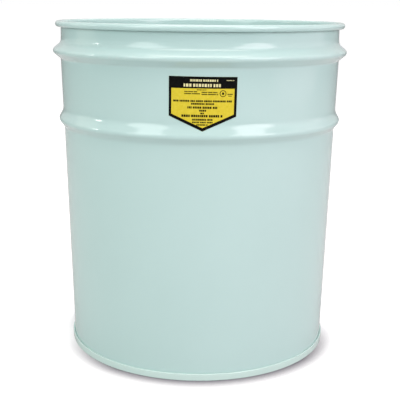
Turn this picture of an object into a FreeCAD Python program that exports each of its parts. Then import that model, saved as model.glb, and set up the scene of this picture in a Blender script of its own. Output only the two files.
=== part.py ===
"""Open-head steel drum of about 45 litres with a tapered side wall.

The drum is pressed and rolled from thin sheet. Its side wall is one sheet, curled over a hollow
bead at the mouth, swaged into two ring beads and closed by a welded side seam. The bottom head is
a separate pressed disc. Its edge is folded together with the wall's edge into a double seam, the
chime that the drum stands on. A film label with printed bars is stuck to the front of the wall.

Millimetres, +Z up, the drum's axis on Z and its foot at Z = 0. The label faces -Y and the side
seam runs up the back, at +Y.
"""
import FreeCAD, Part
import math
import os
import Sketcher

V = FreeCAD.Vector
UP = V(0, 0, 1)
ORIGIN = V(0, 0, 0)

# Driving dimensions: alias, value in millimetres or degrees, what it is.
DIMENSIONS = [
    ("drum_height", 440.0, "overall height, foot to top of curl"),
    ("sheet_gauge", 0.7, "thickness of the wall and head sheet"),
    ("layer_gap", 0.08, "paint and air between the folded layers of the chime"),
    ("curl_radius", 3.9, "outside radius of the curl's section"),
    ("curl_wrap", 312.0, "degrees that the curl turns before its sheet ends"),
    ("neck_radius", 186.0, "outer face of the neck between curl and upper bead"),
    ("neck_flare", 0.6, "how far the foot of the neck widens toward the upper bead"),
    ("neck_flare_height", 7.0, "height over which the neck widens"),
    ("neck_flare_round", 40.0, "rounding where the neck starts to widen"),
    ("upper_bead_height", 401.8, "height of the upper bead's crest"),
    ("upper_bead_apex", 199.3, "radius of the upper bead's crest before it is rounded"),
    ("upper_bead_half", 10.6, "crest to root, along the axis, before rounding"),
    ("upper_crest_round", 4.6, "rounding of the upper bead's crest"),
    ("neck_root_round", 8.0, "rounding where the neck meets the upper bead"),
    ("upper_root_round", 4.0, "rounding where the upper bead meets the wall"),
    ("wall_radius", 184.8, "outer face of the wall at the lower bead's height"),
    ("lower_bead_height", 311.4, "height of the lower bead's crest"),
    ("lower_bead_apex", 192.0, "radius of the lower bead's crest before it is rounded"),
    ("lower_bead_rise", 12.0, "crest to upper root, along the axis, before rounding"),
    ("lower_bead_fall", 9.5, "crest to lower root, along the axis, before rounding"),
    ("lower_crest_round", 6.0, "rounding of the lower bead's crest"),
    ("lower_over_round", 16.0, "rounding of the lower bead's upper root"),
    ("lower_under_round", 8.0, "rounding of the lower bead's lower root"),
    ("foot_radius", 177.2, "outer face of the upright wall above the chime"),
    ("foot_turn", 14.0, "height where the tapered wall turns upright"),
    ("foot_turn_round", 60.0, "rounding of that turn"),
    ("chime_height", 9.3, "height of the double seam"),
    ("foot_round", 0.6, "inside rounding of the head where it turns at the foot"),
    ("hook_round", 0.35, "inside rounding of the two hooks"),
    ("hook_clearance", 0.5, "space past the tip of each hook"),
    ("compound_radius", 0.22, "section radius of the sealing compound in that space"),
    ("panel_height", 13.5, "top of the bottom head's panel above the foot"),
    ("panel_round", 3.7, "rounding of the panel's top face into its upright edge"),
    ("panel_bead_inner", 62.0, "radius of the inner stiffening ring in the panel"),
    ("panel_bead_outer", 124.0, "radius of the outer stiffening ring in the panel"),
    ("panel_bead_half", 9.0, "half the width of each stiffening ring"),
    ("panel_bead_rise", 5.0, "rise of each stiffening ring before rounding"),
    ("panel_bead_round", 7.0, "rounding of the stiffening rings"),
    ("weld_angle", 1.3, "degrees of the wall taken up by the welded side seam"),
    ("weld_proud", 0.06, "how far the weld stands out of each face of the wall"),
    ("film_gauge", 0.25, "thickness of the label film"),
    ("ink_gauge", 0.1, "thickness of the printed layer"),
    ("label_turn", 1.2, "degrees that the label sits to the right of the front"),
    ("label_arc", 30.0, "degrees of the band that the label is cut from"),
    ("label_tip", 318.4, "height of the label's point"),
    ("label_shoulder", 17.4, "point to the foot of the label's sides"),
    ("label_rise", 63.4, "point to the label's top edge"),
    ("label_half", 39.4, "half the label's width"),
    ("border", 2.7, "width of the printed border"),
    ("border_tip", 3.1, "height of the printed border at the point"),
    ("header_rise", 49.8, "point to the foot of the printed header"),
]

# Printed bars in place of words: name, left, right, height of the middle above the label's point,
# thickness. The first three are left clear in the black header, the others are printed black.
BARS = [
    ("title", -15.0, 17.0, 59.2, 3.0),
    ("banner", -22.5, 22.0, 53.4, 4.0),
    ("number", 27.0, 36.0, 59.3, 1.0),
    ("caption", -7.0, 4.0, 48.2, 0.9),
    ("left_upper", -21.5, -7.0, 46.0, 1.1),
    ("left_lower", -21.5, -3.5, 43.7, 1.1),
    ("right_upper", -1.5, 16.5, 45.4, 1.1),
    ("right_lower", -1.5, 17.5, 43.1, 1.1),
    ("block", 19.5, 26.5, 44.0, 5.6),
    ("block_note", 28.5, 34.5, 42.8, 1.6),
    ("full_line", -34.3, 34.6, 35.2, 1.8),
    ("second_line", -13.5, 14.0, 32.0, 1.7),
    ("third_line", -17.8, 17.8, 27.7, 2.0),
    ("fourth_line", -4.0, 4.0, 24.2, 1.8),
    ("fifth_line", -2.6, 2.6, 21.0, 1.4),
    ("sixth_line", -24.6, 24.2, 17.9, 2.2),
    ("seventh_line", -12.0, 11.7, 13.6, 1.7),
    ("eighth_line", -12.0, 12.2, 10.4, 1.3),
    ("ninth_line", -7.0, 6.6, 7.5, 1.3),
]


def dimension_sheet(doc):
    """The spreadsheet that drives every sketch and feature."""
    sheet = doc.addObject("Spreadsheet::Sheet", "Dims")
    rows = list(DIMENSIONS)
    for name, left, right, rise, thickness in BARS:
        rows.append((name + "_left", left, "left end of the bar, from the label's middle"))
        rows.append((name + "_right", right, "right end of the bar"))
        rows.append((name + "_low", round(rise - thickness / 2, 3), "foot of the bar, above the point"))
        rows.append((name + "_high", round(rise + thickness / 2, 3), "top of the bar"))
    for row, (alias, value, meaning) in enumerate(rows, start=1):
        sheet.set(f"A{row}", meaning)
        sheet.set(f"B{row}", str(value))
        sheet.setAlias(f"B{row}", alias)
    doc.recompute()
    return sheet


def upright_sketch(doc, name):
    """A sketch in the XZ plane: its x is the radius and its y is the height."""
    sketch = doc.addObject("Sketcher::SketchObject", name)
    sketch.Placement = FreeCAD.Placement(ORIGIN, FreeCAD.Rotation(V(1, 0, 0), 90))
    return sketch


def point_at(sketch, place):
    """The point that a pair of expressions gives, as numbers."""
    across, along = (float(sketch.evalExpression(expression)) for expression in place)
    return V(across, along, 0)


def bind(sketch, kind, where, start, expression, unit=""):
    """Add a dimension to the sketch and tie it to the sheet."""
    index = sketch.addConstraint(Sketcher.Constraint(kind, *where, start))
    sketch.setExpression(f"Constraints[{index}]", expression + unit)


def locate(sketch, geometry, end, place):
    """Fix one end of a line, or a point, at a pair of expressions."""
    start = point_at(sketch, place)
    if place[0] == "0":
        sketch.addConstraint(Sketcher.Constraint("PointOnObject", geometry, end, -2))
    else:
        bind(sketch, "DistanceX", (-1, 1, geometry, end), start.x, place[0])
    bind(sketch, "DistanceY", (-1, 1, geometry, end), start.y, place[1])


def bent_line(sketch, corners, rounds):
    """Straight runs from corner to corner with a tangent bend at each corner between them.

    The corners are pairs of expressions, and each inner corner has an expression for its radius.
    Returns the number of the first run.
    """
    points = [point_at(sketch, place) for place in corners]
    radii = [float(sketch.evalExpression(expression)) for expression in rounds]
    ends = [points[0]]
    centres = []
    for before, corner, after, radius in zip(points, points[1:], points[2:], radii):
        back = (before - corner).normalize()
        onward = (after - corner).normalize()
        half_angle = back.getAngle(onward) / 2
        reach = radius / math.tan(half_angle)
        ends += [corner + back * reach, corner + onward * reach]
        centres.append(corner + (back + onward).normalize() * (radius / math.sin(half_angle)))
    ends.append(points[-1])
    runs = [sketch.addGeometry(Part.LineSegment(ends[i], ends[i + 1])) for i in range(0, len(ends), 2)]
    locate(sketch, runs[0], 1, corners[0])
    locate(sketch, runs[-1], 2, corners[-1])
    for number, (centre, radius) in enumerate(zip(centres, radii)):
        arrive = ends[2 * number + 1] - centre
        leave = ends[2 * number + 2] - centre
        left_turn = arrive.cross(leave).z > 0
        first, last = (arrive, leave) if left_turn else (leave, arrive)
        angles = [math.atan2(arm.y, arm.x) for arm in (first, last)]
        bend = sketch.addGeometry(Part.ArcOfCircle(Part.Circle(centre, UP, radius), *angles))
        inlet, outlet = (1, 2) if left_turn else (2, 1)
        sketch.addConstraint(Sketcher.Constraint("Tangent", runs[number], 2, bend, inlet))
        sketch.addConstraint(Sketcher.Constraint("Tangent", bend, outlet, runs[number + 1], 1))
        bind(sketch, "Radius", (bend,), radius, rounds[number])
        corner = sketch.addGeometry(Part.Point(points[number + 1]), True)
        locate(sketch, corner, 1, corners[number + 1])
        sketch.addConstraint(Sketcher.Constraint("PointOnObject", corner, 1, runs[number]))
        sketch.addConstraint(Sketcher.Constraint("PointOnObject", corner, 1, runs[number + 1]))
    return runs[0]


def polygon(sketch, corners):
    """A closed outline of straight lines, each corner fixed at a pair of expressions."""
    points = [point_at(sketch, place) for place in corners]
    following = points[1:] + points[:1]
    lines = [sketch.addGeometry(Part.LineSegment(a, b)) for a, b in zip(points, following)]
    for line, after, place in zip(lines, lines[1:] + lines[:1], corners[1:] + corners[:1]):
        sketch.addConstraint(Sketcher.Constraint("Coincident", line, 2, after, 1))
        locate(sketch, after, 1, place)


def wall_at(height):
    """The radius of the tapered wall's outer face at a height, as an expression."""
    rise = f"(({height}) - Dims.foot_turn) / (Dims.lower_bead_height - Dims.foot_turn)"
    return f"Dims.foot_radius + (Dims.wall_radius - Dims.foot_radius) * {rise}"


def wall_profile(doc):
    """Outer face of the side wall, from the end of the curl down to the tip of the body hook."""
    sketch = upright_sketch(doc, "WallProfile")
    curl_middle = "Dims.drum_height - Dims.curl_radius"
    hook_floor = "2 * Dims.sheet_gauge + Dims.layer_gap"
    hook_face = "Dims.foot_radius + Dims.sheet_gauge + 2 * Dims.layer_gap"
    hook_tip = "Dims.chime_height - Dims.sheet_gauge - Dims.hook_clearance"
    upper_top = "Dims.upper_bead_height + Dims.upper_bead_half"
    upper_foot = "Dims.upper_bead_height - Dims.upper_bead_half"
    lower_top = "Dims.lower_bead_height + Dims.lower_bead_rise"
    lower_foot = "Dims.lower_bead_height - Dims.lower_bead_fall"
    corners = [
        ("Dims.neck_radius", curl_middle),
        ("Dims.neck_radius", f"{upper_top} + Dims.neck_flare_height"),
        ("Dims.neck_radius + Dims.neck_flare", upper_top),
        ("Dims.upper_bead_apex", "Dims.upper_bead_height"),
        (wall_at(upper_foot), upper_foot),
        (wall_at(lower_top), lower_top),
        ("Dims.lower_bead_apex", "Dims.lower_bead_height"),
        (wall_at(lower_foot), lower_foot),
        ("Dims.foot_radius", "Dims.foot_turn"),
        ("Dims.foot_radius", hook_floor),
        (hook_face, hook_floor),
        (hook_face, hook_tip),
    ]
    rounds = ["Dims.neck_flare_round", "Dims.neck_root_round", "Dims.upper_crest_round",
              "Dims.upper_root_round", "Dims.lower_over_round", "Dims.lower_crest_round",
              "Dims.lower_under_round",
              "Dims.foot_turn_round", "Dims.hook_round", "Dims.hook_round"]
    neck = bent_line(sketch, corners, rounds)
    inside = "Dims.curl_radius - Dims.sheet_gauge"
    radius = float(sketch.evalExpression(inside))
    wrap = float(sketch.evalExpression("Dims.curl_wrap"))
    centre = point_at(sketch, corners[0]) + V(radius, 0, 0)
    circle = Part.Circle(centre, UP, radius)
    curl = sketch.addGeometry(Part.ArcOfCircle(circle, math.pi - math.radians(wrap), math.pi))
    sketch.addConstraint(Sketcher.Constraint("Tangent", curl, 2, neck, 1))
    bind(sketch, "Radius", (curl,), radius, inside)
    bind(sketch, "Angle", (curl,), math.radians(wrap), "Dims.curl_wrap", " * 1 deg")
    return sketch


def head_profile(doc):
    """Top face of the bottom head, from the middle of its panel out to the tip of its hook."""
    sketch = upright_sketch(doc, "HeadProfile")
    edge_face = "Dims.foot_radius - Dims.sheet_gauge - Dims.layer_gap"
    seam_face = "Dims.foot_radius + 2 * Dims.sheet_gauge + 3 * Dims.layer_gap"
    hook_face = "Dims.foot_radius + Dims.sheet_gauge + Dims.layer_gap"
    hook_tip = "2 * Dims.sheet_gauge + Dims.layer_gap + Dims.hook_clearance"
    ceiling = "Dims.chime_height - Dims.sheet_gauge"
    corners = [("0", "Dims.panel_height")]
    rounds = []
    for ring in ("Dims.panel_bead_inner", "Dims.panel_bead_outer"):
        corners += [
            (f"{ring} - Dims.panel_bead_half", "Dims.panel_height"),
            (ring, "Dims.panel_height + Dims.panel_bead_rise"),
            (f"{ring} + Dims.panel_bead_half", "Dims.panel_height"),
        ]
        rounds += ["Dims.panel_bead_round"] * 3
    corners += [
        (edge_face, "Dims.panel_height"),
        (edge_face, "Dims.sheet_gauge"),
        (seam_face, "Dims.sheet_gauge"),
        (seam_face, ceiling),
        (hook_face, ceiling),
        (hook_face, hook_tip),
    ]
    rounds += ["Dims.panel_round", "Dims.foot_round", "Dims.foot_round",
               "Dims.hook_round", "Dims.hook_round"]
    bent_line(sketch, corners, rounds)
    return sketch


def sheet_face(doc, name, source, gauge, filled=True):
    """The source line thickened to one side by the gauge, with square ends."""
    face = doc.addObject("Part::Offset2D", name)
    face.Source = source
    face.Mode = "Skin"
    face.Join = "Arc"
    face.Fill = filled
    face.setExpression("Value", gauge)
    return face


def turned(doc, name, label, face, angle, facing):
    """The face turned about the drum's axis, centred on a compass direction in degrees."""
    solid = doc.addObject("Part::Revolution", name)
    solid.Label = label
    solid.Source = face
    solid.Axis = UP
    solid.Base = ORIGIN
    solid.Symmetric = True
    solid.Solid = True
    solid.setExpression("Angle", angle)
    solid.Placement = FreeCAD.Placement(ORIGIN, FreeCAD.Rotation(UP, facing))
    return solid


def side_wall(doc, profile):
    """The rolled sheet, open at the back by the width of the weld."""
    face = sheet_face(doc, "WallSection", profile, "-Dims.sheet_gauge")
    return turned(doc, "BodyShell", "body_shell", face, "360 - Dims.weld_angle", -90)


def side_seam(doc, profile):
    """The weld that closes the sheet: a strip a little thicker than the wall, at the back."""
    line = sheet_face(doc, "WeldLine", profile, "Dims.weld_proud", filled=False)
    face = sheet_face(doc, "WeldSection", line, "-Dims.sheet_gauge - 2 * Dims.weld_proud")
    return turned(doc, "SideSeamWeld", "side_seam_weld", face, "Dims.weld_angle", 90)


def bottom_head(doc):
    """The pressed bottom: panel, upright edge and the fold that grips the wall's edge."""
    face = sheet_face(doc, "HeadSection", head_profile(doc), "-Dims.sheet_gauge")
    return turned(doc, "BottomHead", "bottom_head", face, "360", 0)


def seam_compound(doc):
    """Sealing compound in the two small spaces past the hooks' tips."""
    body_tip = ("Dims.foot_radius + 1.5 * Dims.sheet_gauge + 2 * Dims.layer_gap",
                "Dims.chime_height - Dims.sheet_gauge - Dims.hook_clearance / 2")
    head_tip = ("Dims.foot_radius + Dims.sheet_gauge / 2 + Dims.layer_gap",
                "2 * Dims.sheet_gauge + Dims.layer_gap + Dims.hook_clearance / 2")
    rings = []
    for name, (radius, height) in (("UpperCompound", body_tip), ("LowerCompound", head_tip)):
        ring = doc.addObject("Part::Torus", name)
        ring.setExpression("Radius1", radius)
        ring.setExpression("Radius2", "Dims.compound_radius")
        ring.setExpression("Placement.Base.z", height)
        rings.append(ring)
    both = doc.addObject("Part::Compound", "SeamCompound")
    both.Label = "seam_compound"
    both.Links = rings
    return both


def pentagon(tip, shoulder, top, half):
    """Corners of a five-sided outline that points down, as expressions from the label's point."""
    right = f"{half}"
    left = f"-({half})"
    base = "Dims.label_tip"
    return [("0", f"{base} + {tip}"), (right, f"{base} + {shoulder}"), (right, f"{base} + {top}"),
            (left, f"{base} + {top}"), (left, f"{base} + {shoulder}")]


def label_outline(doc):
    """The label's cut edge."""
    sketch = upright_sketch(doc, "LabelOutline")
    polygon(sketch, pentagon("0", "Dims.label_shoulder", "Dims.label_rise", "Dims.label_half"))
    return sketch


def label_artwork(doc):
    """What is printed black: border and header around the clear field, and the bars."""
    sketch = upright_sketch(doc, "LabelArtwork")
    polygon(sketch, pentagon("0", "Dims.label_shoulder", "Dims.label_rise", "Dims.label_half"))
    inner_shoulder = "Dims.label_shoulder + Dims.border_tip - " \
                     "Dims.border * Dims.label_shoulder / Dims.label_half"
    inner_half = "Dims.label_half - Dims.border"
    polygon(sketch, pentagon("Dims.border_tip", inner_shoulder, "Dims.header_rise", inner_half))
    for bar in BARS:
        left, right = f"Dims.{bar[0]}_left", f"Dims.{bar[0]}_right"
        low, high = f"Dims.label_tip + Dims.{bar[0]}_low", f"Dims.label_tip + Dims.{bar[0]}_high"
        polygon(sketch, [(left, low), (right, low), (right, high), (left, high)])
    return sketch


def cut_from_band(doc, name, label, band, outline):
    """The part of a band round the wall that lies behind a flat outline in front of it."""
    prism = doc.addObject("Part::Extrusion", name + "Prism")
    prism.Base = outline
    prism.DirMode = "Custom"
    prism.Dir = V(0, -1, 0)
    prism.Solid = True
    prism.FaceMakerClass = "Part::FaceMakerBullseye"
    prism.setExpression("LengthFwd", "Dims.upper_bead_apex")
    piece = doc.addObject("Part::Common", name)
    piece.Label = label
    piece.Base = band
    piece.Tool = prism
    piece.Placement = FreeCAD.Placement(ORIGIN, FreeCAD.Rotation(UP, 1))
    piece.setExpression("Placement.Rotation.Angle", "Dims.label_turn")
    return piece


def wall_band(doc, name, source, gauge):
    """A band on the front of the wall, lying on the source line."""
    face = sheet_face(doc, name + "Section", source, gauge)
    return turned(doc, name, name, face, "Dims.label_arc", -90)


def label_film(doc, profile):
    """The printed film's clear body, stuck to the wall."""
    band = wall_band(doc, "FilmBand", profile, "Dims.film_gauge")
    return cut_from_band(doc, "LabelFilm", "label_film", band, label_outline(doc))


def label_print(doc, profile):
    """The printed layer on the film."""
    line = sheet_face(doc, "InkLine", profile, "Dims.film_gauge", filled=False)
    band = wall_band(doc, "InkBand", line, "Dims.ink_gauge")
    return cut_from_band(doc, "LabelPrint", "label_print", band, label_artwork(doc))


def check(doc, parts):
    """Stop if any object failed to recompute or any sub-part isn't a sound solid."""
    failed = [obj.Name for obj in doc.Objects if "Invalid" in obj.State or "Error" in obj.State]
    if failed:
        raise RuntimeError(f"failed to recompute: {failed}")
    loose = [obj.Name for obj in doc.Objects
             if obj.TypeId == "Sketcher::SketchObject" and not obj.FullyConstrained]
    if loose:
        raise RuntimeError(f"not fully constrained: {loose}")
    for part in parts:
        if part.Shape.isNull() or not part.Shape.isValid() or not part.Shape.Solids:
            raise RuntimeError(f"not a sound solid: {part.Label}")


def main():
    doc = FreeCAD.newDocument("drum")
    dimension_sheet(doc)
    profile = wall_profile(doc)
    parts = [
        side_wall(doc, profile),
        side_seam(doc, profile),
        bottom_head(doc),
        seam_compound(doc),
        label_film(doc, profile),
        label_print(doc, profile),
    ]
    doc.recompute()
    check(doc, parts)
    os.makedirs("parts", exist_ok=True)
    for part in parts:
        part.Shape.exportStep(f"parts/{part.Label}.step")
        box = part.Shape.BoundBox
        print(f"{part.Label}: {len(part.Shape.Solids)} solids, {part.Shape.Volume:.1f} mm3, "
              f"z {box.ZMin:.2f} to {box.ZMax:.2f}, x {box.XMin:.2f} to {box.XMax:.2f}, "
              f"y {box.YMin:.2f} to {box.YMax:.2f}")


main()
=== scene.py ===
import math
import random

import bmesh
import bpy
from mathutils import Matrix, Vector


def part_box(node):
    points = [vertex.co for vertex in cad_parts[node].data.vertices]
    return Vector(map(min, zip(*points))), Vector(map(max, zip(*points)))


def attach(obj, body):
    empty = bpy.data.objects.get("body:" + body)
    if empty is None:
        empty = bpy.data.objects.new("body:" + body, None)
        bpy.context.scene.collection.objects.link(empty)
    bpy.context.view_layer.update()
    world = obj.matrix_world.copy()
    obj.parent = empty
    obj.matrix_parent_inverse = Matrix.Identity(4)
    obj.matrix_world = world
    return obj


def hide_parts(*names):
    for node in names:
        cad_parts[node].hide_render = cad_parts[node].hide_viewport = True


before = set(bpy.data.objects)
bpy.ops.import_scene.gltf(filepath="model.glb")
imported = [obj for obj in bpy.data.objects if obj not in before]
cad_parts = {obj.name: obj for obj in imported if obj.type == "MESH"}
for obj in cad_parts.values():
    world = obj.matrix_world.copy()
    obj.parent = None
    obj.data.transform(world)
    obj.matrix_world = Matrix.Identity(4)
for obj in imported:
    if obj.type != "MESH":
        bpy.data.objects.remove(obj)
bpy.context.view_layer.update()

MM = 0.001
SHELL_LOW, SHELL_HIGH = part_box("body_shell")
HEAD_LOW, HEAD_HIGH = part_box("bottom_head")

# The drum's section, radius and height in metres. The wall's sizes are those of its outer face.
HEIGHT = round(SHELL_HIGH.z, 4)
FOOT = round(HEAD_LOW.z, 4)
GAUGE = 0.7 * MM
LAYER_GAP = 0.08 * MM
CURL_RADIUS = 3.9 * MM
CURL_WRAP = math.radians(312)
NECK_RADIUS = 186.0 * MM
NECK_FLARE = 0.6 * MM
NECK_FLARE_HEIGHT = 7.0 * MM
NECK_FLARE_ROUND = 40.0 * MM
UPPER_BEAD = dict(height=401.8 * MM, apex=199.3 * MM, rise=10.6 * MM, fall=10.6 * MM,
                  crest=4.6 * MM, over=8.0 * MM, under=4.0 * MM)
LOWER_BEAD = dict(height=311.4 * MM, apex=192.0 * MM, rise=12.0 * MM, fall=9.5 * MM,
                  crest=6.0 * MM, over=16.0 * MM, under=8.0 * MM)
WALL_RADIUS = 184.8 * MM
FOOT_RADIUS = 177.2 * MM
FOOT_TURN = 14.0 * MM
FOOT_TURN_ROUND = 60.0 * MM
CHIME_HEIGHT = 9.3 * MM
FOOT_ROUND = 0.6 * MM
HOOK_ROUND = 0.35 * MM
HOOK_CLEARANCE = 0.5 * MM
SWELL = 0.10 * MM
PANEL_HEIGHT = 13.5 * MM
PANEL_ROUND = 3.7 * MM
PANEL_RINGS = (62.0 * MM, 124.0 * MM)
PANEL_RING = dict(half=9.0 * MM, rise=5.0 * MM, round=7.0 * MM)

# The welded side seam runs up the back, at +Y.
SEAM_TURN = math.pi / 2
SEAM_ANGLE = math.radians(1.3)
SEAM_OVERLAP = math.radians(0.35)
SEAM_PROUD = 0.26 * MM
SEAM_BEDDING = 0.02 * MM
SEAM_RIPPLE = 1.9 * MM
SEAM_SWELL = 7.3 * MM
SEAM_STEPS = 10

# The heights between which the label's wall is looked up.
FACE_LOW = 300 * MM
FACE_HIGH = 395 * MM

# The label's cut edge, from its point, and its printed layer.
LABEL_TURN = math.radians(-90 + 1.2)
LABEL_TIP = 318.4 * MM
LABEL_SHOULDER = 17.4 * MM
LABEL_RISE = 63.4 * MM
LABEL_HALF = 39.7 * MM
LABEL_RADIUS = 186.0 * MM
LABEL_TILT = math.radians(0.6)
FILM = 0.22 * MM
INK = 0.06 * MM
BORDER = 3.0 * MM
BORDER_TIP = 3.8 * MM
HEADER_RISE = 49.8 * MM
BEDDING = 0.02 * MM

# Lines of blocks that stand for words: left and right end from the label's middle, height of the
# middle above the label's point, height of the blocks, usual width of a block, in millimetres.
DARK_LINES = [
    (-7.0, 4.0, 48.2, 0.9, 0.9), (-21.5, -7.0, 46.0, 1.3, 1.1), (-21.5, -3.5, 43.7, 1.3, 1.1),
    (-1.5, 16.5, 45.4, 1.3, 1.1), (-1.5, 17.5, 43.1, 1.3, 1.1), (28.5, 34.5, 43.4, 1.3, 1.0),
    (29.5, 33.5, 41.3, 0.9, 0.9), (-34.3, 34.6, 35.2, 2.2, 1.6), (-13.5, 14.0, 32.0, 2.0, 1.5),
    (-17.8, 17.8, 27.7, 2.5, 1.7), (-4.0, 4.0, 24.2, 2.2, 1.6), (-2.6, 2.6, 21.0, 1.8, 1.6),
    (-24.6, 24.2, 17.9, 2.8, 1.9), (-12.0, 11.7, 13.6, 2.2, 1.6), (-12.0, 12.2, 10.4, 1.7, 1.4),
    (-7.0, 6.6, 7.5, 1.7, 1.4),
]
LIGHT_LINES = [(-15.0, 17.0, 59.0, 2.5, 1.7), (-22.5, 22.0, 53.4, 3.5, 2.3), (27.0, 36.0, 59.3, 0.7, 0.8)]
TIGHT_SPACING = 0.26
WIDE_SPACING = 0.42

# The round mark: its middle, outer and inner radius, and the block inside it.
MARK_RING = ((23.2 * MM, 44.2 * MM), 3.9 * MM, 3.1 * MM)
MARK_BLOCK = (22.0 * MM, 24.4 * MM, 42.8 * MM, 45.6 * MM)

RING_STEPS = 320
ARC_STEP = math.radians(7)
RUN_STEP = 12 * MM
# Spacing of the cuts that let the label bend: fine low down, where it crosses the bead's root.
CUT_ACROSS = 3 * MM
CUT_FINE = 0.5 * MM
CUT_COARSE = 6 * MM

# Paint and print colours.
ENAMEL_LIGHT = (0.5, 0.7, 0.676, 1)
ENAMEL_DEEP = (0.488, 0.688, 0.663, 1)
ENAMEL_SPECK = (0.42, 0.56, 0.53, 1)
ENAMEL_WORN = (0.60, 0.72, 0.69, 1)
# Painted light for the chime.
ENAMEL_PAINTED_LIGHT = (0.59, 0.77, 0.72, 1)
# Painted shade for the fold below the curl.
ENAMEL_PAINTED_SHADE = (0.15, 0.25, 0.23, 1)
YELLOW_LIGHT = (0.72, 0.60, 0.045, 1)
YELLOW_DEEP = (0.67, 0.55, 0.035, 1)
BLACK_LIGHT = (0.006, 0.006, 0.006, 1)
BLACK_DEEP = (0.003, 0.003, 0.003, 1)
CREAM_LIGHT = (0.80, 0.76, 0.42, 1)
CREAM_DEEP = (0.74, 0.70, 0.36, 1)
COMPOUND_LIGHT = (0.09, 0.09, 0.1, 1)
COMPOUND_DEEP = (0.05, 0.05, 0.055, 1)
# Reach of the occlusion that paints shade in the fold below the curl.
PAINTED_SHADE_REACH = 3.5 * MM
# Heights of the duller bands of paint, and how far each one reaches.
DULLED = ((UPPER_BEAD["height"], 4 * MM), (HEIGHT, 3 * MM), (FOOT + 3 * MM, 6 * MM))

# The camera: a long lens a little above the mouth, looking down at the drum.
CAMERA_PLACE = (0.0, -1.1438, 0.4644)
CAMERA_PITCH = math.radians(90 - 13.39)
CAMERA_YAW = math.radians(-0.105)
CAMERA_ROLL = math.radians(0.56)
CAMERA_LENS = 74.66

SOFTBOXES = [
    ("softbox_left", -42, 25, 1.24, 1.6, 2.8, (0.96, 1.0, 0.99)),
    ("softbox_right", 44, 25, 1.3, 1.65, 3.3, (1.06, 0.97, 1.02)),
    ("softbox_top", 0, 76, 2.0, 2.0, 2.5, (1.19, 0.99, 0.96)),
    ("fill_left", -100, 14, 1.3, 1.3, 0.5, (1.02, 0.99, 0.86)),
    ("fill_right", 80, 12, 3.4, 1.5, 0.5, (1.14, 0.92, 0.98)),
    ("lamp_left", -86.5, 13, 0.26, 0.18, 15.0, (1.0, 1.0, 1.0)),
    ("softbox_behind", 180, 50, 1.5, 1.5, 0.9, (1.0, 1.0, 1.0)),
    ("fill_behind", 180, 6, 1.5, 1.5, 2.5, (1.0, 1.0, 1.0)),
]
SOFTBOX_DISTANCE = 2.2
LOOK_AT = Vector((0, 0, 0.25))
FLOOR_LIGHT = (0.60, 0.60, 0.60, 1)
FLOOR_DEEP = (0.58, 0.58, 0.58, 1)
FLOOR_REACH = 120.0
FLOOR_LIFT = 0.75
CONTACT_REACH = 42 * MM
CONTACT_SHADE = (0.27, 0.26, 0.29, 1)

# The studio's walls: brightness at the horizon, at 20, 45 and 90 degrees up, ahead of the drum
# and behind it.
WALLS_AHEAD = (0.39, 0.39, 0.335, 0.4)
WALLS_BEHIND = (0.6, 0.7, 0.6, 0.4)
WALL_HEIGHTS = (0.0, 0.34, 0.71, 1.0)


def turn_left(direction):
    """The direction turned a quarter to the left."""
    return Vector((-direction.y, direction.x))


def arc(centre, radius, start, sweep):
    """Points and left-hand normals along an arc; a positive sweep turns left."""
    steps = max(4, math.ceil(abs(sweep) / ARC_STEP))
    side = -1 if sweep > 0 else 1
    made = []
    for i in range(steps + 1):
        angle = start + sweep * i / steps
        arm = Vector((math.cos(angle), math.sin(angle)))
        made.append((centre + arm * radius, arm * side))
    return made


def run(start, end):
    """Points strictly between the ends of a straight run, and their normals."""
    length = (end - start).length
    steps = max(1, math.ceil(length / RUN_STEP))
    normal = turn_left((end - start).normalized())
    return [(start.lerp(end, i / steps), normal) for i in range(1, steps)]


def bent_line(corners, rounds):
    """Points and left-hand normals along straight runs joined by tangent bends."""
    corners = [Vector(corner) for corner in corners]
    first = turn_left((corners[1] - corners[0]).normalized())
    line = [(corners[0], first)]
    for before, corner, after, radius in zip(corners, corners[1:], corners[2:], rounds):
        back = (before - corner).normalized()
        onward = (after - corner).normalized()
        half = back.angle(onward) / 2
        arrive = corner + back * radius / math.tan(half)
        centre = corner + (back + onward).normalized() * radius / math.sin(half)
        left = turn_left(-back).dot(onward) > 0
        arm = arrive - centre
        sweep = (math.pi - 2 * half) * (1 if left else -1)
        line += run(line[-1][0], arrive)
        line += arc(centre, radius, math.atan2(arm.y, arm.x), sweep)
    line += run(line[-1][0], corners[-1])
    last = turn_left((corners[-1] - corners[-2]).normalized())
    line.append((corners[-1], last))
    return line


def wall_at(height):
    """Radius of the tapered wall's outer face."""
    share = (height - FOOT_TURN) / (LOWER_BEAD["height"] - FOOT_TURN)
    return FOOT_RADIUS + (WALL_RADIUS - FOOT_RADIUS) * share


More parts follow.
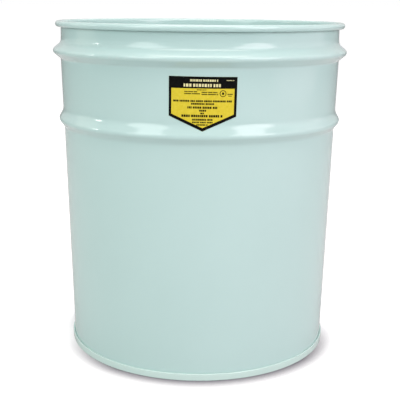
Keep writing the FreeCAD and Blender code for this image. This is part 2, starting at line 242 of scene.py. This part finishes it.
def wall_line():
    """Outer face of the side wall, from the end of the curl to the tip of its hook."""
    inside = CURL_RADIUS - GAUGE
    middle = Vector((NECK_RADIUS + inside, HEIGHT - CURL_RADIUS))
    hook_floor = FOOT + 2 * GAUGE + LAYER_GAP
    hook_face = FOOT_RADIUS + GAUGE + 2 * LAYER_GAP
    flare_top = UPPER_BEAD["height"] + UPPER_BEAD["rise"] + NECK_FLARE_HEIGHT
    corners = [(NECK_RADIUS, middle.y), (NECK_RADIUS, flare_top)]
    rounds = [NECK_FLARE_ROUND]
    for bead in (UPPER_BEAD, LOWER_BEAD):
        top, foot = bead["height"] + bead["rise"], bead["height"] - bead["fall"]
        above = NECK_RADIUS + NECK_FLARE if bead is UPPER_BEAD else wall_at(top)
        corners += [(above, top), (bead["apex"], bead["height"]), (wall_at(foot), foot)]
        rounds += [bead["over"], bead["crest"], bead["under"]]
    corners += [
        (FOOT_RADIUS, FOOT_TURN),
        (FOOT_RADIUS, hook_floor),
        (hook_face, hook_floor),
        (hook_face, FOOT + CHIME_HEIGHT - GAUGE - HOOK_CLEARANCE),
    ]
    rounds += [FOOT_TURN_ROUND, HOOK_ROUND, HOOK_ROUND]
    curl = arc(middle, inside, math.pi - CURL_WRAP, CURL_WRAP)
    return curl + bent_line(corners, rounds)[1:]


def head_line():
    """Top face of the bottom head, from the middle of its panel to the tip of its hook."""
    edge_face = FOOT_RADIUS - GAUGE - LAYER_GAP
    seam_face = FOOT_RADIUS + 2 * GAUGE + 3 * LAYER_GAP
    hook_face = FOOT_RADIUS + GAUGE + LAYER_GAP
    ceiling = FOOT + CHIME_HEIGHT - GAUGE
    panel = FOOT + PANEL_HEIGHT
    corners = [(0.0, panel)]
    rounds = []
    for ring in PANEL_RINGS:
        corners += [
            (ring - PANEL_RING["half"], panel),
            (ring, panel + PANEL_RING["rise"]),
            (ring + PANEL_RING["half"], panel),
        ]
        rounds += [PANEL_RING["round"]] * 3
    corners += [
        (edge_face, panel),
        (edge_face, FOOT + GAUGE),
        (seam_face, FOOT + GAUGE),
        (seam_face, ceiling),
        (hook_face, ceiling),
        (hook_face, FOOT + 2 * GAUGE + LAYER_GAP + HOOK_CLEARANCE),
    ]
    rounds += [PANEL_ROUND, FOOT_ROUND, FOOT_ROUND, HOOK_ROUND, HOOK_ROUND]
    return bent_line(corners, rounds)


def waviness(angle, height):
    """How far rolled sheet strays from a true cone: long shallow swells, fading to none at the
    stiff rim, beads and chime."""
    stiff = [HEIGHT, UPPER_BEAD["height"], LOWER_BEAD["height"], FOOT]
    clear = min(abs(height - place) for place in stiff)
    fade = min(1.0, max(0.0, (clear - 14 * MM) / (40 * MM)))
    swell = (math.sin(3 * angle + 0.7 + 9 * height) + 0.7 * math.sin(5 * angle - 1.9 - 14 * height)
             + 0.45 * math.sin(8 * angle + 2.4 + 23 * height))
    return SWELL * fade * swell


def place(radius, angle, height):
    """A point of the drum from its radius, compass angle and height."""
    radius += waviness(angle, height) if radius > FOOT_RADIUS - 2 * GAUGE else 0
    return Vector((radius * math.cos(angle), radius * math.sin(angle), height))


def make_object(name, mesh, material, nodes=(), sharp=math.radians(40)):
    """A finished piece: shaded smooth but for real edges, riding on the drum."""
    mesh.polygons.foreach_set("use_smooth", [True] * len(mesh.polygons))
    mesh.set_sharp_from_angle(angle=sharp)
    piece = bpy.data.objects.new(name, mesh)
    bpy.context.scene.collection.objects.link(piece)
    mesh.materials.append(material)
    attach(piece, "root")
    if nodes:
        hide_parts(*nodes)
    return piece


def turned_sheet(name, line, start, sweep):
    """Mesh of a sheet whose one face is the line, turned about Z. A full turn closes on itself."""
    full = abs(sweep - 2 * math.pi) < 1e-6
    columns = RING_STEPS if full else RING_STEPS + 1
    loop = [point for point, normal in line]
    loop += [point - normal * GAUGE for point, normal in reversed(line)]
    count = len(loop)
    verts, faces = [], []
    for column in range(columns):
        angle = start + sweep * column / RING_STEPS
        verts += [place(max(point.x, 0.0), angle, point.y) for point in loop]
    for column in range(RING_STEPS):
        this, following = column * count, (column + 1) % columns * count
        for i in range(count):
            j = (i + 1) % count
            faces.append((this + i, following + i, following + j, this + j))
    if not full:
        half = count // 2
        for base, order in ((0, 1), (RING_STEPS * count, -1)):
            for i in range(half - 1):
                corners = (i, i + 1, count - 2 - i, count - 1 - i)
                faces.append(tuple(base + c for c in corners[::order]))
    mesh = bpy.data.meshes.new(name)
    mesh.from_pydata(verts, [], faces)
    tidy(mesh)
    return mesh


def tidy(mesh):
    """Join the points that coincide, as on the axis, and turn every face outward."""
    work = bmesh.new()
    work.from_mesh(mesh)
    bmesh.ops.remove_doubles(work, verts=work.verts, dist=1e-7)
    bmesh.ops.dissolve_degenerate(work, edges=work.edges, dist=1e-8)
    bmesh.ops.recalc_face_normals(work, faces=work.faces)
    work.to_mesh(mesh)
    work.free()
    mesh.update()


def seam_strip(line):
    """Mesh of the welded seam: a low rounded ridge on both faces of the wall, with the slight
    unevenness that a seam welder leaves."""
    reach = SEAM_ANGLE / 2 + SEAM_OVERLAP
    rings = []
    for point, normal in line:
        exposed = FOOT + CHIME_HEIGHT < point.y < HEIGHT - 2 * CURL_RADIUS
        ring = []
        for side in (1, -1):
            for i in range(SEAM_STEPS + 1):
                share = (2 * i / SEAM_STEPS - 1) * side
                ripple = 1 + 0.25 * math.sin(point.y / SEAM_RIPPLE)
                ripple += 0.2 * math.sin(point.y / SEAM_SWELL)
                crown = SEAM_PROUD * ripple * math.sqrt(max(0.0, 1 - share ** 4)) if exposed else 0
                bury = -SEAM_BEDDING if abs(share) == 1 else SEAM_BEDDING
                lift = crown + bury if side > 0 else -GAUGE - crown - bury
                spot = point + normal * lift
                ring.append(place(spot.x, SEAM_TURN - share * reach, spot.y))
        rings.append(ring)
    count = len(rings[0])
    verts = [corner for ring in rings for corner in ring]
    faces = [tuple(range(count)), tuple(reversed(range(len(verts) - count, len(verts))))]
    for r in range(len(rings) - 1):
        for i in range(count):
            j = (i + 1) % count
            a, b = r * count, (r + 1) * count
            faces.append((a + i, b + i, b + j, a + j))
    mesh = bpy.data.meshes.new("seam")
    mesh.from_pydata(verts, [], faces)
    tidy(mesh)
    return mesh


class WallFace:
    """The wall's outer face between the beads, by height."""

    def __init__(self, line):
        spans = [(p, n) for p, n in line if FACE_LOW < p.y < FACE_HIGH and n.x > 0.2]
        self.spans = sorted(spans, key=lambda span: span[0].y)

    def at(self, height):
        """Point and normal of the face at a height."""
        for (p, n), (q, m) in zip(self.spans, self.spans[1:]):
            if p.y <= height <= q.y:
                share = (height - p.y) / (q.y - p.y)
                return p.lerp(q, share), n.lerp(m, share).normalized()
        raise ValueError(f"no wall at {height}")

    def lay(self, across, height, lift):
        """A point lifted off the wall, from its distance across the label and its height."""
        rise = height - LABEL_TIP - LABEL_RISE / 2
        across, rise = across + rise * LABEL_TILT, rise - across * LABEL_TILT
        point, normal = self.at(LABEL_TIP + LABEL_RISE / 2 + rise)
        spot = point + normal * lift
        return place(spot.x, LABEL_TURN + across / LABEL_RADIUS, spot.y)


def stuck_on(name, wall, outlines, lift, thickness):
    """Mesh of flat outlines laid on the wall as thin plates. Outlines are counted from the
    label's point: distance across, height above the point."""
    work = bmesh.new()
    for outline in outlines:
        work.faces.new([work.verts.new((x, z, 0)) for x, z in outline])
    bmesh.ops.remove_doubles(work, verts=work.verts, dist=1e-6)
    width = max(abs(x) for outline in outlines for x, z in outline)
    columns = int(width / CUT_ACROSS)
    cuts = [((i * CUT_ACROSS, 0, 0), (1, 0, 0)) for i in range(-columns, columns + 1)]
    cuts += [((0, i * CUT_FINE, 0), (0, 1, 0)) for i in range(1, 21)]
    cuts += [((0, i * CUT_COARSE, 0), (0, 1, 0)) for i in range(2, 11)]
    for spot, across in cuts:
        parts = work.verts[:] + work.edges[:] + work.faces[:]
        bmesh.ops.bisect_plane(work, geom=parts, plane_co=spot, plane_no=across, dist=1e-7)
    raised = bmesh.ops.extrude_face_region(work, geom=work.faces[:])
    for vert in (v for v in raised["geom"] if isinstance(v, bmesh.types.BMVert)):
        vert.co.z = thickness
    for vert in work.verts:
        vert.co = wall.lay(vert.co.x, LABEL_TIP + vert.co.y, lift + vert.co.z)
    bmesh.ops.recalc_face_normals(work, faces=work.faces)
    mesh = bpy.data.meshes.new(name)
    work.to_mesh(mesh)
    work.free()
    return mesh


def rectangle(left, right, low, high):
    """Corners of an upright rectangle."""
    return [(left, low), (right, low), (right, high), (left, high)]


def words(rng, left, right, middle, tall, letter, spacing):
    """Small blocks in groups, in place of a line of words: the line in millimetres, and the space
    between blocks as a share of a block's width."""
    left, right, middle, tall, letter = (size * MM for size in (left, right, middle, tall, letter))
    blocks = []
    spot = left
    in_word = rng.randint(3, 8)
    while spot < right - letter * 0.5:
        width = min(letter * rng.uniform(0.75, 1.25), right - spot)
        blocks.append(rectangle(spot, spot + width, middle - tall / 2, middle + tall / 2))
        in_word -= 1
        gap = letter * (spacing if in_word else 0.85)
        in_word = in_word or rng.randint(3, 8)
        spot += width + gap
    return blocks


def ring(middle, outer, inner, steps=28):
    """A plain ring, as an outline for each of its steps."""
    def spot(radius, i):
        angle = 2 * math.pi * i / steps
        return (middle[0] + radius * math.cos(angle), middle[1] + radius * math.sin(angle))
    return [[spot(outer, i), spot(outer, i + 1), spot(inner, i + 1), spot(inner, i)]
            for i in range(steps)]


def pentagon(tip, shoulder, top, half):
    """Corners of the label's five-sided shape, from its point round to the right."""
    return [(0, tip), (half, shoulder), (half, top), (-half, top), (-half, shoulder)]


def label_outlines():
    """Outlines of the film, of the black print and of the light bars on its header."""
    rng = random.Random(7)
    outer = pentagon(0, LABEL_SHOULDER, LABEL_RISE, LABEL_HALF)
    inner_half = LABEL_HALF - BORDER
    inner_shoulder = LABEL_SHOULDER + BORDER_TIP - BORDER * LABEL_SHOULDER / LABEL_HALF
    inner = pentagon(BORDER_TIP, inner_shoulder, HEADER_RISE, inner_half)
    ink = [[outer[i], outer[(i + 1) % 5], inner[(i + 1) % 5], inner[i]] for i in range(5)]
    for line in DARK_LINES:
        ink += words(rng, *line, TIGHT_SPACING)
    ink += ring(*MARK_RING)
    ink.append(rectangle(*MARK_BLOCK))
    light = []
    for line, spacing in zip(LIGHT_LINES, (WIDE_SPACING, WIDE_SPACING, TIGHT_SPACING)):
        light += words(rng, *line, spacing)
    return [outer], ink, light


class Nodes:
    """A short way to write the node tree of a material or of the world."""

    def __init__(self, owner, shader="Principled BSDF", place="Object"):
        owner.use_nodes = True
        self.owner = owner
        self.tree = owner.node_tree
        self.shader = self.tree.nodes[shader]
        self.place = self.add("ShaderNodeTexCoord").outputs[place]

    def add(self, kind, inputs=None, **settings):
        node = self.tree.nodes.new(kind)
        for key, value in settings.items():
            setattr(node, key, value)
        for key, value in (inputs or {}).items():
            if isinstance(value, bpy.types.NodeSocket):
                self.tree.links.new(value, node.inputs[key])
            else:
                node.inputs[key].default_value = value
        return node

    def noise(self, scale, detail=2.0, roughness=0.5, stretch=(1, 1, 1)):
        """Noise from 0 to 1 in the drum's own metres."""
        stretched = self.add("ShaderNodeMapping", {"Vector": self.place, "Scale": stretch})
        inputs = {"Vector": stretched.outputs["Vector"], "Scale": scale, "Detail": detail,
                  "Roughness": roughness}
        return self.add("ShaderNodeTexNoise", inputs).outputs["Fac"]

    def spread(self, value, low, high, to_low, to_high):
        """A value rescaled from one range to another, and held inside it."""
        inputs = {"Value": value, "From Min": low, "From Max": high,
                  "To Min": to_low, "To Max": to_high}
        return self.add("ShaderNodeMapRange", inputs).outputs["Result"]

    def maths(self, operation, first, second=0.0):
        return self.add("ShaderNodeMath", {0: first, 1: second}, operation=operation).outputs["Value"]

    def blend(self, share, first, second):
        """A colour between two colours."""
        node = self.add("ShaderNodeMix", data_type="RGBA")
        for key, value in ((0, share), (6, first), (7, second)):
            if isinstance(value, bpy.types.NodeSocket):
                self.tree.links.new(value, node.inputs[key])
            else:
                node.inputs[key].default_value = value
        return node.outputs[2]

    def bump(self, height, strength, distance, base=None):
        inputs = {"Height": height, "Strength": strength, "Distance": distance}
        if base:
            inputs["Normal"] = base
        return self.add("ShaderNodeBump", inputs).outputs["Normal"]

    def set(self, **sockets):
        """Shader inputs by name, with underscores for spaces."""
        for key, value in sockets.items():
            socket = self.shader.inputs[key.replace("_", " ")]
            if isinstance(value, bpy.types.NodeSocket):
                self.tree.links.new(value, socket)
            else:
                socket.default_value = value


def enamel():
    """Gloss enamel sprayed on sheet steel: orange peel, faint clouding and dulled edges, with painted
    shade in the fold below the curl and painted light on the chime.
    """
    m = Nodes(bpy.data.materials.new("gloss_enamel"))
    spot = m.add("ShaderNodeSeparateXYZ", {"Vector": m.place})
    height = spot.outputs["Z"]
    clouds = m.noise(9.0, detail=3.0)
    shade = m.blend(m.spread(clouds, 0.3, 0.7, 0.0, 1.0), ENAMEL_DEEP, ENAMEL_LIGHT)
    specks = m.spread(m.noise(900.0, detail=1.0), 0.74, 0.80, 0.0, 0.25)
    shade = m.blend(specks, shade, ENAMEL_SPECK)
    # Duller, slightly paler patches on the upper bead's crest, the curl and the chime.
    rub = None
    for middle, reach in DULLED:
        off = m.maths("ABSOLUTE", m.maths("SUBTRACT", height, middle))
        band = m.spread(off, 0.0, reach, 1.0, 0.0)
        rub = band if rub is None else m.maths("MAXIMUM", rub, band)
    patches = m.spread(m.noise(160.0, detail=4.0, roughness=0.65), 0.5, 0.72, 0.0, 1.0)
    scuffs = m.maths("MULTIPLY", rub, patches)
    shade = m.blend(m.maths("MULTIPLY", scuffs, 0.35), shade, ENAMEL_WORN)
    # Painted shade: occlusion darkens the base colour in the tight fold below the curl.
    tight = m.add("ShaderNodeAmbientOcclusion", {"Distance": PAINTED_SHADE_REACH}, samples=8).outputs["AO"]
    below = m.spread(height, HEIGHT - 14 * MM, HEIGHT - 10 * MM, 0.0, 1.0)
    painted_crease_shade = m.maths("MULTIPLY", below, m.spread(tight, 0.4, 0.85, 0.8, 0.0))
    shade = m.blend(painted_crease_shade, shade, ENAMEL_PAINTED_SHADE)
    # Painted light: the chime is painted paler than the wall, to look brighter lit.
    chime = FOOT + CHIME_HEIGHT
    painted_chime_light = m.spread(height, chime - 0.5 * MM, chime + 0.5 * MM, 0.8, 0.0)
    shade = m.blend(painted_chime_light, shade, ENAMEL_PAINTED_LIGHT)
    gloss = m.spread(m.noise(28.0, detail=2.0), 0.3, 0.7, 0.10, 0.14)
    gloss = m.maths("ADD", gloss, m.maths("MULTIPLY", scuffs, 0.15))
    peel = m.bump(m.noise(420.0, detail=1.5), 0.25, 0.015 * MM)
    sag = m.bump(m.noise(60.0, detail=1.0, stretch=(1, 1, 0.35)), 0.4, 0.04 * MM, base=peel)
    m.set(Base_Color=shade, Roughness=gloss, Normal=sag, IOR=1.5, Coat_Weight=0.4, Coat_Roughness=0.03)
    return m.owner


def film(name, light, deep, shine=0.2):
    """Gloss vinyl film: flat colour with the mottle of print and a slight pebble."""
    m = Nodes(bpy.data.materials.new(name))
    shade = m.blend(m.spread(m.noise(300.0, detail=3.0), 0.35, 0.65, 0.0, 1.0), deep, light)
    gloss = m.spread(m.noise(80.0), 0.3, 0.7, 0.24, 0.34)
    pebble = m.bump(m.noise(1200.0, detail=1.0), 0.2, 0.01 * MM)
    m.set(Base_Color=shade, Roughness=gloss, Normal=pebble, Specular_IOR_Level=shine)
    return m.owner


def rubbery():
    """Dark lining compound, dull and slightly lumpy."""
    m = Nodes(bpy.data.materials.new("lining_compound"))
    shade = m.blend(m.noise(500.0), COMPOUND_DEEP, COMPOUND_LIGHT)
    m.set(Base_Color=shade, Roughness=0.7, Normal=m.bump(m.noise(900.0), 0.4, 0.05 * MM))
    return m.owner


def floor_finish():
    """Matt white studio floor, exposed to plain white where nothing shades it. Only what the
    camera sees is treated so: emission lifts the open floor, and the contact shade round the foot
    is painted by occlusion, weaker at the drum's sides than at its front and back."""
    m = Nodes(bpy.data.materials.new("studio_floor"))
    shade = m.blend(m.noise(3.0), FLOOR_DEEP, FLOOR_LIGHT)
    near = m.add("ShaderNodeAmbientOcclusion", {"Distance": CONTACT_REACH}, samples=16)
    spot = m.add("ShaderNodeSeparateXYZ", {"Vector": m.place})
    ahead = m.maths("SUBTRACT", m.maths("MULTIPLY", spot.outputs["X"], 0.15), spot.outputs["Y"])
    closed = m.spread(near.outputs["AO"], 0.58, 0.92, 1.0, 0.0)
    beyond = m.maths("ABSOLUTE", ahead)
    share = m.spread(beyond, FOOT_RADIUS * 0.1, FOOT_RADIUS * 0.75, 0.35, 1.0)
    closed = m.maths("MULTIPLY", closed, share)
    seen = m.add("ShaderNodeLightPath").outputs["Is Camera Ray"]
    shade = m.blend(m.maths("MULTIPLY", seen, closed), shade, CONTACT_SHADE)
    lift = m.maths("MULTIPLY", seen, m.spread(closed, 0.0, 1.0, FLOOR_LIFT, 0.0))
    m.set(Base_Color=shade, Roughness=0.9, Specular_IOR_Level=0.1)
    m.set(Emission_Color=(1, 1, 1, 1), Emission_Strength=lift)
    return m.owner


def make_drum():
    """Every piece of the drum."""
    paint = enamel()
    line = wall_line()
    start = SEAM_TURN + SEAM_ANGLE / 2
    wall_mesh = turned_sheet("wall", line, start, 2 * math.pi - SEAM_ANGLE)
    make_object("side_wall", wall_mesh, paint, ["body_shell"])
    make_object("side_seam", seam_strip(line), paint, ["side_seam_weld"])
    head_mesh = turned_sheet("head", head_line(), 0.0, 2 * math.pi)
    make_object("bottom", head_mesh, paint, ["bottom_head"])
    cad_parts["seam_compound"].data.materials.clear()
    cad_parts["seam_compound"].data.materials.append(rubbery())
    wall = WallFace(line)
    cut, ink, light = label_outlines()
    film_mesh = stuck_on("film", wall, cut, BEDDING, FILM)
    yellow = film("label_yellow_film", YELLOW_LIGHT, YELLOW_DEEP)
    make_object("label_base", film_mesh, yellow, ["label_film"])
    ink_mesh = stuck_on("ink", wall, ink, BEDDING + FILM, INK)
    black = film("label_black_ink", BLACK_LIGHT, BLACK_DEEP, 0.07)
    make_object("label_ink", ink_mesh, black, ["label_print"])
    light_mesh = stuck_on("light", wall, light, BEDDING + FILM + INK, INK)
    cream = film("label_cream_ink", CREAM_LIGHT, CREAM_DEEP)
    make_object("label_light_bars", light_mesh, cream, ())


def make_camera():
    """The camera at the viewing angle."""
    lens = bpy.data.cameras.new("camera")
    lens.sensor_width = 36.0
    lens.lens = CAMERA_LENS
    camera = bpy.data.objects.new("camera", lens)
    bpy.context.scene.collection.objects.link(camera)
    aim = Matrix.Rotation(CAMERA_YAW, 4, "Z") @ Matrix.Rotation(CAMERA_PITCH, 4, "X")
    camera.matrix_world = Matrix.Translation(CAMERA_PLACE) @ aim @ Matrix.Rotation(CAMERA_ROLL, 4, "Z")
    bpy.context.scene.camera = camera


def make_light():
    """The studio's lamps, aimed at the drum and unseen themselves."""
    for name, azimuth, elevation, width, tall, bright, colour in SOFTBOXES:
        lamp = bpy.data.lights.new(name, "AREA")
        lamp.shape = "ELLIPSE"
        lamp.size, lamp.size_y = width, tall
        lamp.energy = bright * math.pi ** 2 * width * tall / 4
        lamp.color = colour
        a, e = math.radians(azimuth), math.radians(elevation)
        away = Vector((math.sin(a) * math.cos(e), -math.cos(a) * math.cos(e), math.sin(e)))
        box = bpy.data.objects.new(name, lamp)
        bpy.context.scene.collection.objects.link(box)
        turn = away.to_track_quat("Z", "Y").to_matrix().to_4x4()
        box.matrix_world = Matrix.Translation(LOOK_AT + away * SOFTBOX_DISTANCE) @ turn
        box.visible_camera = False
        # The fill behind lightens the back of the drum without being mirrored in it.
        box.visible_glossy = name != "fill_behind"


def ramp(nodes, value, places, levels):
    """A value looked up on a smooth ramp."""
    node = nodes.add("ShaderNodeValToRGB", {"Fac": value})
    node.color_ramp.interpolation = "EASE"
    peak = max(levels)
    stops = node.color_ramp.elements
    while len(stops) < len(places):
        stops.new(0.5)
    for stop, spot, level in zip(stops, places, levels):
        stop.position = spot
        stop.color = (level / peak, level / peak, level / peak, 1)
    return nodes.maths("MULTIPLY", node.outputs["Color"], peak)


def make_world():
    """A pale studio round the drum, brighter behind it, and plain white where it is looked at."""
    m = Nodes(bpy.data.worlds.new("studio"), "Background", "Generated")
    way = m.add("ShaderNodeSeparateXYZ", {"Vector": m.place})
    ahead = ramp(m, way.outputs["Z"], WALL_HEIGHTS, WALLS_AHEAD)
    behind = ramp(m, way.outputs["Z"], WALL_HEIGHTS, WALLS_BEHIND)
    back = m.spread(way.outputs["Y"], -1.0, 1.0, 0.0, 1.0)
    light = m.maths("ADD", ahead, m.maths("MULTIPLY", back, m.maths("SUBTRACT", behind, ahead)))
    seen = m.add("ShaderNodeLightPath").outputs["Is Camera Ray"]
    m.set(Color=(1, 1, 1, 1), Strength=m.maths("MAXIMUM", light, seen))
    bpy.context.scene.world = m.owner


def make_floor():
    """The floor that the drum stands on."""
    mesh = bpy.data.meshes.new("floor")
    corners = rectangle(-FLOOR_REACH, FLOOR_REACH, -FLOOR_REACH, FLOOR_REACH)
    mesh.from_pydata([(x, y, FOOT) for x, y in corners], [], [(0, 1, 2, 3)])
    mesh.materials.append(floor_finish())
    floor = bpy.data.objects.new("floor", mesh)
    bpy.context.scene.collection.objects.link(floor)


make_camera()
make_drum()
make_light()
make_world()
make_floor()
bpy.context.scene.view_settings.view_transform = "Standard"
